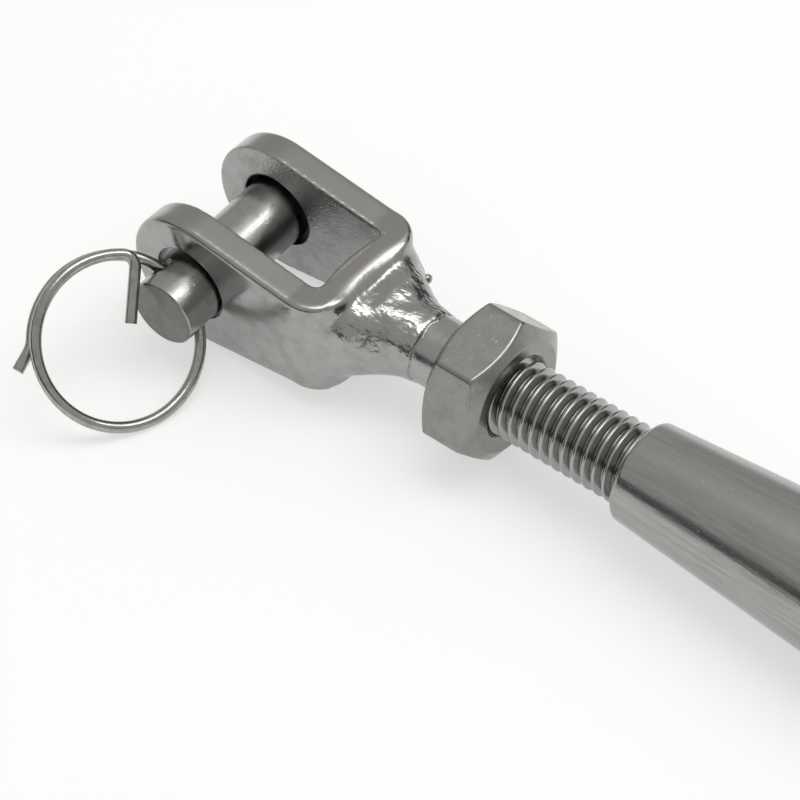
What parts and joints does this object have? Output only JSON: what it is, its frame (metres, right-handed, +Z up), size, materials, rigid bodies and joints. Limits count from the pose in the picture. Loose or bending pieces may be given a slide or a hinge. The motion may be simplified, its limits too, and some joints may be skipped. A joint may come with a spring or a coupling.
{
  "type": "shroud adjuster",
  "caption": "Closed-body rigging screw that sets the tension of a stay: fork ends with clevis pins and split rings on opposite-hand threaded studs with locknuts.",
  "frame": {"origin": "centre of the tommy bar hole in the middle of the body, on the screw's axis", "axes": "+X along the screw to the far fork, the pictured fork being at -X; +Y along that fork's clevis pin towards its head; +Z up as the adjuster lies on its forks, along the tommy bar hole"},
  "size_m": [0.27, 0.0652, 0.0188],
  "materials": {
    "body_steel": "drawn tube, lengthwise ground and polished",
    "fork_steel": "forged and tumble polished",
    "stud_steel": "rolled thread",
    "nut_steel": "cold formed, bright",
    "pin_steel": "turned",
    "ring_steel": "drawn spring wire"
  },
  "bodies": {
    "body": {"body_tube": "body_steel"},
    "near_screw": {"near_fork_head": "fork_steel", "near_threaded_stud": "stud_steel"},
    "far_screw": {"far_fork_head": "fork_steel", "far_threaded_stud": "stud_steel"},
    "near_nut": {"near_locknut": "nut_steel"},
    "far_nut": {"far_locknut": "nut_steel"},
    "near_pin": {"near_clevis_pin": "pin_steel"},
    "far_pin": {"far_clevis_pin": "pin_steel"},
    "near_ring": {"near_split_ring": "ring_steel"},
    "far_ring": {"far_split_ring": "ring_steel"}
  },
  "joints": [
    {"name": "near_screw_travel", "type": "slide", "parent": "body", "child": "near_screw", "axis": [-1, 0, 0], "range_m": [-0.0075, 0.0195]},
    {"name": "far_screw_travel", "type": "slide", "parent": "body", "child": "far_screw", "axis": [1, 0, 0], "range_m": [-0.0075, 0.0195]},
    {"name": "near_nut_travel", "type": "slide", "parent": "near_screw", "child": "near_nut", "axis": [1, 0, 0], "range_m": [0, 0.009]},
    {"name": "far_nut_travel", "type": "slide", "parent": "far_screw", "child": "far_nut", "axis": [-1, 0, 0], "range_m": [0, 0.009]},
    {"name": "near_pin_turn", "type": "hinge", "parent": "near_screw", "child": "near_pin", "pos_m": [-0.125, 0, -0.00025], "axis": [-0.0384, 0.9993, 0], "continuous": true},
    {"name": "far_pin_turn", "type": "hinge", "parent": "far_screw", "child": "far_pin", "pos_m": [0.125, 0, -0.00025], "axis": [0.0384, -0.9993, 0], "continuous": true},
    {"name": "near_ring_swing", "type": "hinge", "parent": "near_pin", "child": "near_ring", "pos_m": [-0.12455, -0.01184, -0.00025], "axis": [0.7066, 0.0271, -0.7071], "range_deg": [-75, 65]},
    {"name": "far_ring_swing", "type": "hinge", "parent": "far_pin", "child": "far_ring", "pos_m": [0.12455, 0.01184, -0.00025], "axis": [-0.7066, -0.0271, -0.7071], "range_deg": [-75, 65]}
  ],
  "couplings": [
    {"joint": "far_screw_travel", "follows": "near_screw_travel", "ratio": 1}
  ]
}
